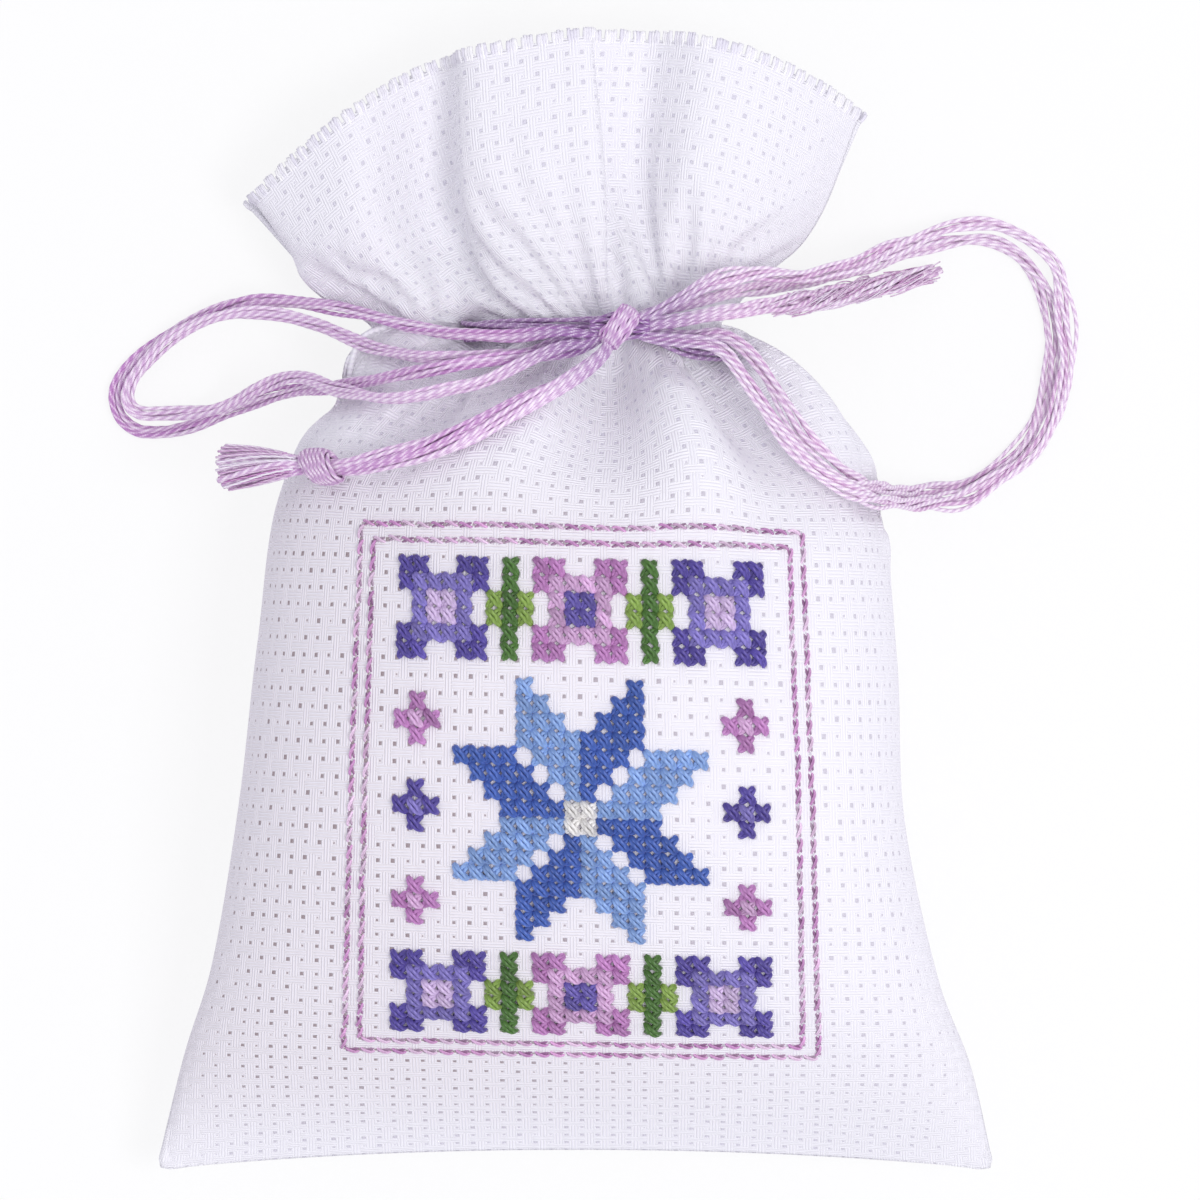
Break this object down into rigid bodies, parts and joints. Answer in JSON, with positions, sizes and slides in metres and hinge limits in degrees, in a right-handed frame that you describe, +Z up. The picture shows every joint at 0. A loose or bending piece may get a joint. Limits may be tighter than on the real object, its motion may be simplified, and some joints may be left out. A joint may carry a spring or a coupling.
{
  "type": "lavender sachet",
  "caption": "Small embroidered cloth bag of dried lavender, gathered at the neck and tied with a floss bow, lying on its back; it scents drawers and wardrobes.",
  "frame": {"origin": "under the middle of the bag, on the surface that it lies on, with the loops and tails of the tie left out", "axes": "+X to the right of the embroidered front, +Y from the bottom seam to the mouth, +Z up, out of the front"},
  "size_m": [0.0887, 0.1019, 0.0379],
  "materials": {
    "cloth": "white evenweave cotton with open holes between the woven blocks",
    "seam_cotton": "white sewing cotton",
    "dried_lavender": "loose dried flower buds",
    "tie_floss": "lilac cotton floss with a soft sheen",
    "frame_floss": "pink cotton floss, back stitch",
    "violet_floss": "violet cotton floss, cross stitch",
    "pink_floss": "pink cotton floss, cross stitch",
    "green_floss": "green cotton floss, cross stitch",
    "deep_blue_floss": "blue cotton floss, cross stitch",
    "pale_blue_floss": "pale blue cotton floss, cross stitch",
    "white_floss": "white cotton floss, cross stitch"
  },
  "bodies": {
    "bag": {"front_panel": "cloth", "back_panel": "cloth", "left_seam_thread": "seam_cotton", "right_seam_thread": "seam_cotton", "bottom_seam_thread": "seam_cotton", "lavender_filling": "dried_lavender", "frame_outer_stitches": "frame_floss", "frame_inner_stitches": "frame_floss", "star_petal_1": "deep_blue_floss", "star_petal_2": "pale_blue_floss", "star_petal_3": "pale_blue_floss", "star_petal_4": "deep_blue_floss", "star_petal_5": "pale_blue_floss", "star_petal_6": "deep_blue_floss", "star_petal_7": "deep_blue_floss", "star_petal_8": "pale_blue_floss", "star_centre": "white_floss", "flower_1": "violet_floss", "flower_2": "pink_floss", "flower_3": "violet_floss", "flower_4": "violet_floss", "flower_5": "pink_floss", "flower_6": "violet_floss", "sprig_1": "green_floss", "sprig_2": "green_floss", "sprig_3": "green_floss", "sprig_4": "green_floss", "diamond_1": "pink_floss", "diamond_2": "violet_floss", "diamond_3": "pink_floss", "diamond_4": "pink_floss", "diamond_5": "violet_floss", "diamond_6": "pink_floss", "neck_wrap": "tie_floss", "bow_knot": "tie_floss"},
    "left_loop": {"left_loop_outer": "tie_floss", "left_loop_inner": "tie_floss"},
    "right_loop": {"right_loop_outer": "tie_floss", "right_loop_inner": "tie_floss"},
    "left_tail": {"left_tail": "tie_floss", "tail_knot": "tie_floss", "tail_brush": "tie_floss"},
    "right_tail": {"right_tail": "tie_floss"}
  },
  "joints": [
    {"name": "left_loop_lift", "type": "hinge", "parent": "bag", "child": "left_loop", "pos_m": [0.004, 0.024, 0.0254], "axis": [0, 1, 0], "range_deg": [0, 75]},
    {"name": "right_loop_lift", "type": "hinge", "parent": "bag", "child": "right_loop", "pos_m": [0.004, 0.024, 0.0254], "axis": [0, -1, 0], "range_deg": [0, 75]},
    {"name": "left_tail_lift", "type": "hinge", "parent": "bag", "child": "left_tail", "pos_m": [0.004, 0.024, 0.0254], "axis": [0, 1, 0], "range_deg": [0, 75]},
    {"name": "right_tail_lift", "type": "hinge", "parent": "bag", "child": "right_tail", "pos_m": [0.004, 0.024, 0.0254], "axis": [0, -1, 0], "range_deg": [0, 75]}
  ]
}
